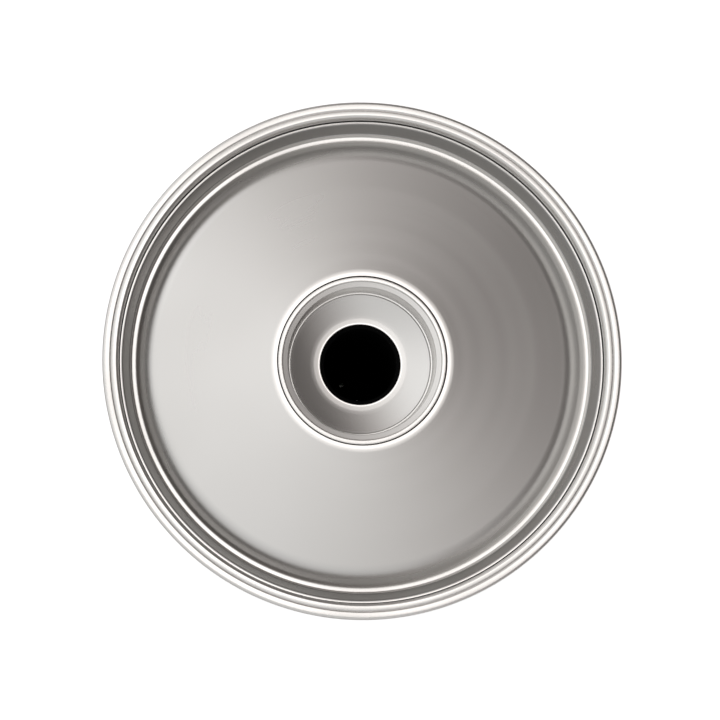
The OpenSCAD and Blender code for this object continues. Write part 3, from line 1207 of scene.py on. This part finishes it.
@dataclass
class Plunger(Assembly):
    """The button, the hollow stem, the piston and the former disc. Sizes in millimetres."""

    button_sheet: float = 0.8
    button_lip: float = 0.85
    recess: float = 14.15
    recess_depth: float = 6.7
    ledge_width: float = 0.4
    ledge_rise: float = 0.25
    ledge_lean: float = 0.15
    recess_lean: float = 0.2
    shelf_drop: float = 0.5
    shelf_slope: float = 5.0
    shelf_lean: float = 0.05
    dish_slope: float = 15.0
    lip_slope: float = 6.0
    lip_run: float = 1.6
    lip_ease: float = 0.5
    hole_rim: float = 0.28
    stem_wall: float = 0.8
    clip_groove: float = 0.35
    hole_lap: float = 0.1
    seal_depth: float = 1.6
    piston_nose: float = 0.5
    piston_crown: tuple[float, float] = (4.0, 2.3)
    former_nose: float = 0.3
    former_edge: float = 1.4
    former_hub: float = 2.2
    fit_gap: float = 0.04
    seat_gap: float = 0.02

    @property
    def stem(self) -> float:
        """Outer radius of the stem."""
        return extent("plunger_stem").r

    @property
    def stem_bore(self) -> float:
        """Inner radius of the stem."""
        return self.stem - self.stem_wall

    @property
    def hub(self) -> float:
        """Bore of the pieces that sit on the stem."""
        return self.stem + self.fit_gap

    def build(self, nodes: dict[str, bpy.types.Object]) -> None:
        """Makes and fits every piece of the plunger."""
        self.button()
        self.tube()
        self.ring("spring_seat", Slot.TURNED_STEEL, self.hub, 0.2)
        self.piston()
        self.ring("spacer_tube", Slot.TURNED_STEEL, self.hub, 0.25)
        self.former()
        self.keep(nodes, "vent_liner", Slot.BLACK_NYLON)
        self.keep(nodes, "stop_clip", Slot.SPRING_STEEL)
        self.keep(nodes, "piston_clip", Slot.SPRING_STEEL)
        self.keep(nodes, "end_cap", Slot.TURNED_STEEL)

    def button(self) -> None:
        """The button: its lip and shelf, the dished thumb recess, and the skirt that guides it."""
        size = extent("push_button")
        hole = self.stem_bore - self.hole_lap
        ledge = size.high - self.recess_depth
        dish = self.recess - self.ledge_width - self.ledge_lean
        dish_height = ledge - self.ledge_rise
        dish_rise = math.tan(math.radians(self.dish_slope))
        lip_rise = math.tan(math.radians(self.lip_slope))
        lip_height = dish_height - (dish - hole - self.lip_run) * dish_rise
        hole_height = lip_height - (self.lip_run - self.hole_rim) * lip_rise
        shelf, lip = self.recess + self.recess_lean, size.r - self.button_lip
        shelf_height = size.high - self.shelf_drop
        shelf_rise = math.tan(math.radians(self.shelf_slope))
        inner = size.r - self.button_sheet
        under = self.button_sheet / math.cos(math.radians(self.dish_slope))
        outline = [
            Corner(hole, hole_height, 0.1, 4),
            Corner(hole + self.hole_rim, hole_height, 0.12, 5),
            Corner(hole + self.lip_run, lip_height, self.lip_ease, 10),
            Corner(dish, dish_height, 0.06, 3),
            Corner(self.recess - self.ledge_width, ledge, 0.06, 4),
            Corner(self.recess, ledge, 0.2, 6),
            Corner(shelf, shelf_height - (lip - self.shelf_lean - shelf) * shelf_rise, 0.12, 5),
            Corner(lip - self.shelf_lean, shelf_height, 0.1, 5),
            Corner(lip, size.high, 0.12, 5),
            Corner(size.r, size.high, 0.12, 4),
            Corner(size.r, size.low, 0.15, 3),
            Corner(inner, size.low, 0.15, 3),
            Corner(inner, dish_height - under + (inner - dish) * dish_rise, 0.4, 4),
            Corner(hole + self.lip_run, lip_height - self.button_sheet, 0.4, 4),
            Corner(hole, hole_height - self.button_sheet, 0.1, 3),
        ]
        piece = self.fit(Lathe.solid("spun_button", outline), "push_button", Slot.SPUN_STEEL)
        piece.data.materials[0] = self.finishes.button_steel

    def tube(self) -> None:
        """The hollow stem, with the grooves of its two clips."""
        size = extent("plunger_stem")
        outline = [Corner(self.stem_bore, size.low), Corner(size.r, size.low)]
        for clip in (extent("piston_clip"), extent("stop_clip")):
            groove = size.r - self.clip_groove
            low, high = clip.low - self.seat_gap, clip.high + self.seat_gap
            outline += [Corner(size.r, low), Corner(groove, low)]
            outline += [Corner(groove, high), Corner(size.r, high)]
        outline += [Corner(size.r, size.high), Corner(self.stem_bore, size.high)]
        self.fit(Lathe.solid("turned_stem", outline), "plunger_stem", Slot.TURNED_STEEL)

    def piston(self) -> None:
        """The metering piston and the seal in its groove."""
        size, seal = extent("metering_piston"), extent("piston_seal")
        groove = size.r - self.seal_depth
        outline = [
            Corner(self.hub, size.low, 0.2, 3),
            Corner(size.r - self.piston_nose, size.low, 0.2, 3),
            Corner(size.r, size.low + self.piston_nose, 0.2, 3),
            Corner(size.r, seal.low - self.seat_gap, 0.1, 3),
            Corner(groove, seal.low - self.seat_gap),
            Corner(groove, seal.high + self.seat_gap),
            Corner(size.r, seal.high + self.seat_gap, 0.1, 3),
            Corner(size.r, size.high - self.piston_crown[1], 0.3, 4),
            Corner(self.hub + self.piston_crown[0], size.high, 0.5, 4),
            Corner(self.hub, size.high, 0.2, 3),
        ]
        self.fit(Lathe.solid("machined_piston", outline), "metering_piston", Slot.WHITE_NYLON)
        inner = groove + self.seat_gap
        outline = [
            Corner(inner, seal.low, 0.1, 3),
            Corner(seal.r, seal.low, 0.5, 5),
            Corner(seal.r, seal.high, 0.5, 5),
            Corner(inner, seal.high, 0.1, 3),
        ]
        self.fit(Lathe.solid("moulded_seal", outline), "piston_seal", Slot.SILICONE)

    def former(self) -> None:
        """The disc that closes the nozzle and shapes the ring of batter."""
        size = extent("former_disc")
        outline = [
            Corner(self.hub, size.low, 0.1, 3),
            Corner(size.r - self.former_nose, size.low, 0.1, 3),
            Corner(size.r, size.low + self.former_nose, 0.1, 3),
            Corner(size.r, size.low + self.former_edge, 0.15, 3),
            Corner(self.hub + self.former_hub, size.high, 0.5, 5),
            Corner(self.hub, size.high, 0.2, 3),
        ]
        self.fit(Lathe.solid("turned_former", outline), "former_disc", Slot.TURNED_STEEL)


# ---- Studio ----


@dataclass
class Studio:
    """The pale floor, the soft lights and the camera above the lid."""

    camera_tilt: float = 6.5
    camera_bearing: float = 206.8
    camera_distance: float = 0.55
    frame_width: float = 0.1382
    aim: tuple[float, float] = (-0.00064, -0.00027)
    floor_side: float = 6.0
    floor_glow: float = 0.7
    sensor: float = 36.0
    bright: float = 1.03
    dim: float = 0.14
    dim_tint: Colour = (1.0, 0.93, 0.90)
    dim_side: tuple[float, float, float] = (0.906, 0.423, 0.0)
    dim_from: float = -0.27
    dim_to: float = 0.59
    front_side: tuple[float, float, float] = (0.0, -1.0, 0.0)
    front_from: float = -0.17
    front_to: float = 0.5
    front_loss: float = 0.3
    low_level: float = 0.7
    low_dim: float = 0.2
    low_from: float = 0.5
    low_to: float = 0.2
    panel_way: tuple[float, float, float] = (0.05, 0.10, 0.994)
    panel_core: float = math.radians(5.0)
    panel_edge: float = math.radians(12.0)
    panel_gain: float = 1.3

    def build(self) -> None:
        """Builds the studio around the maker."""
        self.floor()
        self.world()
        self.camera(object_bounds()[1].z)

    def floor(self) -> None:
        """Lays a plain pale floor under the foot."""
        mesh = bmesh.new()
        bmesh.ops.create_grid(mesh, x_segments=1, y_segments=1, size=self.floor_side / 2.0)
        data = bpy.data.meshes.new("studio_floor")
        mesh.to_mesh(data)
        mesh.free()
        material, sheet, shader, place = start_material("pale_floor")
        tone = sheet.noise(place, 3.0, 2.0)
        colour = sheet.mix(tone, (0.93, 0.93, 0.93), (0.90, 0.90, 0.90), data_type="RGBA")
        sheet.link(colour, shader.inputs["Base Color"])
        shader.inputs["Roughness"].default_value = 0.9
        seen = sheet.add("ShaderNodeLightPath").outputs["Is Camera Ray"]
        shader.inputs["Emission Color"].default_value = (1.0, 1.0, 1.0, 1.0)
        glow = sheet.math("MULTIPLY", seen, self.floor_glow)
        sheet.link(glow, shader.inputs["Emission Strength"])
        data.materials.append(material)
        floor = bpy.data.objects.new("studio_floor", data)
        bpy.context.scene.collection.objects.link(floor)
        floor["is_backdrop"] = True

    def world(self) -> None:
        """Surrounds the maker with soft light: bright on one side and overhead, dim opposite."""
        world = bpy.data.worlds.new("studio_world")
        world.use_nodes = True
        sheet = NodeSheet(world.node_tree)
        way = sheet.add("ShaderNodeTexCoord").outputs["Generated"]
        dimness = self.lobe(sheet, way, self.dim_side, self.dim_from, self.dim_to)
        front = self.lobe(sheet, way, self.front_side, self.front_from, self.front_to)
        low = self.lobe(sheet, way, -AXIS, -self.low_from, -self.low_to)
        panel_edge, panel_core = math.cos(self.panel_edge), math.cos(self.panel_core)
        panel = self.lobe(sheet, way, self.panel_way, panel_edge, panel_core)
        level = sheet.mix(dimness, self.bright, self.dim)
        level = sheet.math("MULTIPLY", level, sheet.mix(front, 1.0, 1.0 - self.front_loss))
        level = sheet.mix(low, level, sheet.mix(dimness, self.low_level, self.low_dim))
        level = sheet.math("ADD", level, sheet.math("MULTIPLY", panel, self.panel_gain))
        background = world.node_tree.nodes["Background"]
        sheet.link(level, background.inputs["Strength"])
        tint = sheet.mix(dimness, (1.0, 1.0, 1.0), self.dim_tint, data_type="RGBA")
        sheet.link(tint, background.inputs["Color"])
        bpy.context.scene.world = world
        bpy.context.scene.view_settings.view_transform = "Standard"

    @staticmethod
    def lobe(
        sheet: NodeSheet, way: Socket, side: Sequence[float], start: float, full: float
    ) -> Socket:
        """Draws a soft patch of the surround.

        Args:
            sheet: Where the nodes go.
            way: Direction that is looked at.
            side: Direction that the patch lies in.
            start: Cosine at which the patch starts.
            full: Cosine at which it is full.

        Returns:
            The patch's strength, from 0 to 1.
        """
        dot = sheet.add("ShaderNodeVectorMath", operation="DOT_PRODUCT")
        sheet.link(way, dot.inputs[0])
        dot.inputs[1].default_value = Vector(side).normalized()
        return sheet.ramp(dot.outputs["Value"], start, full)

    def camera(self, top: float) -> None:
        """Sets up the camera, which looks down on the lid from a little off its axis.

        Args:
            top: Height of the rim, in metres.
        """
        data = bpy.data.cameras.new("lid_camera")
        data.sensor_width = self.sensor
        data.lens = self.sensor * self.camera_distance / self.frame_width
        data.clip_start, data.clip_end = 0.01, 20.0
        camera = bpy.data.objects.new("lid_camera", data)
        bearing, tilt = math.radians(self.camera_bearing), math.radians(self.camera_tilt)
        lean = math.sin(tilt)
        back = Vector((math.sin(bearing) * lean, math.cos(bearing) * lean, math.cos(tilt)))
        camera.location = Vector((*self.aim, top)) + back * self.camera_distance
        right = Vector((0.0, 1.0, 0.0)).cross(back).normalized()
        up = back.cross(right)
        camera.rotation_mode = "QUATERNION"
        camera.rotation_quaternion = Matrix((right, up, back)).transposed().to_quaternion()
        bpy.context.scene.collection.objects.link(camera)
        bpy.context.scene.camera = camera


def main() -> None:
    """Builds the maker around its frame, then the studio."""
    logging.basicConfig(level=logging.INFO, format="%(name)s: %(message)s")
    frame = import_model()
    studio = Studio()
    finishes = Finishes()
    Hopper(finishes, Body.HOPPER).build(frame["nodes"])
    Lid(finishes, Body.LID).build()
    Plunger(finishes, Body.PLUNGER).build(frame["nodes"])
    studio.build()


if __name__ == "__main__":
    main()
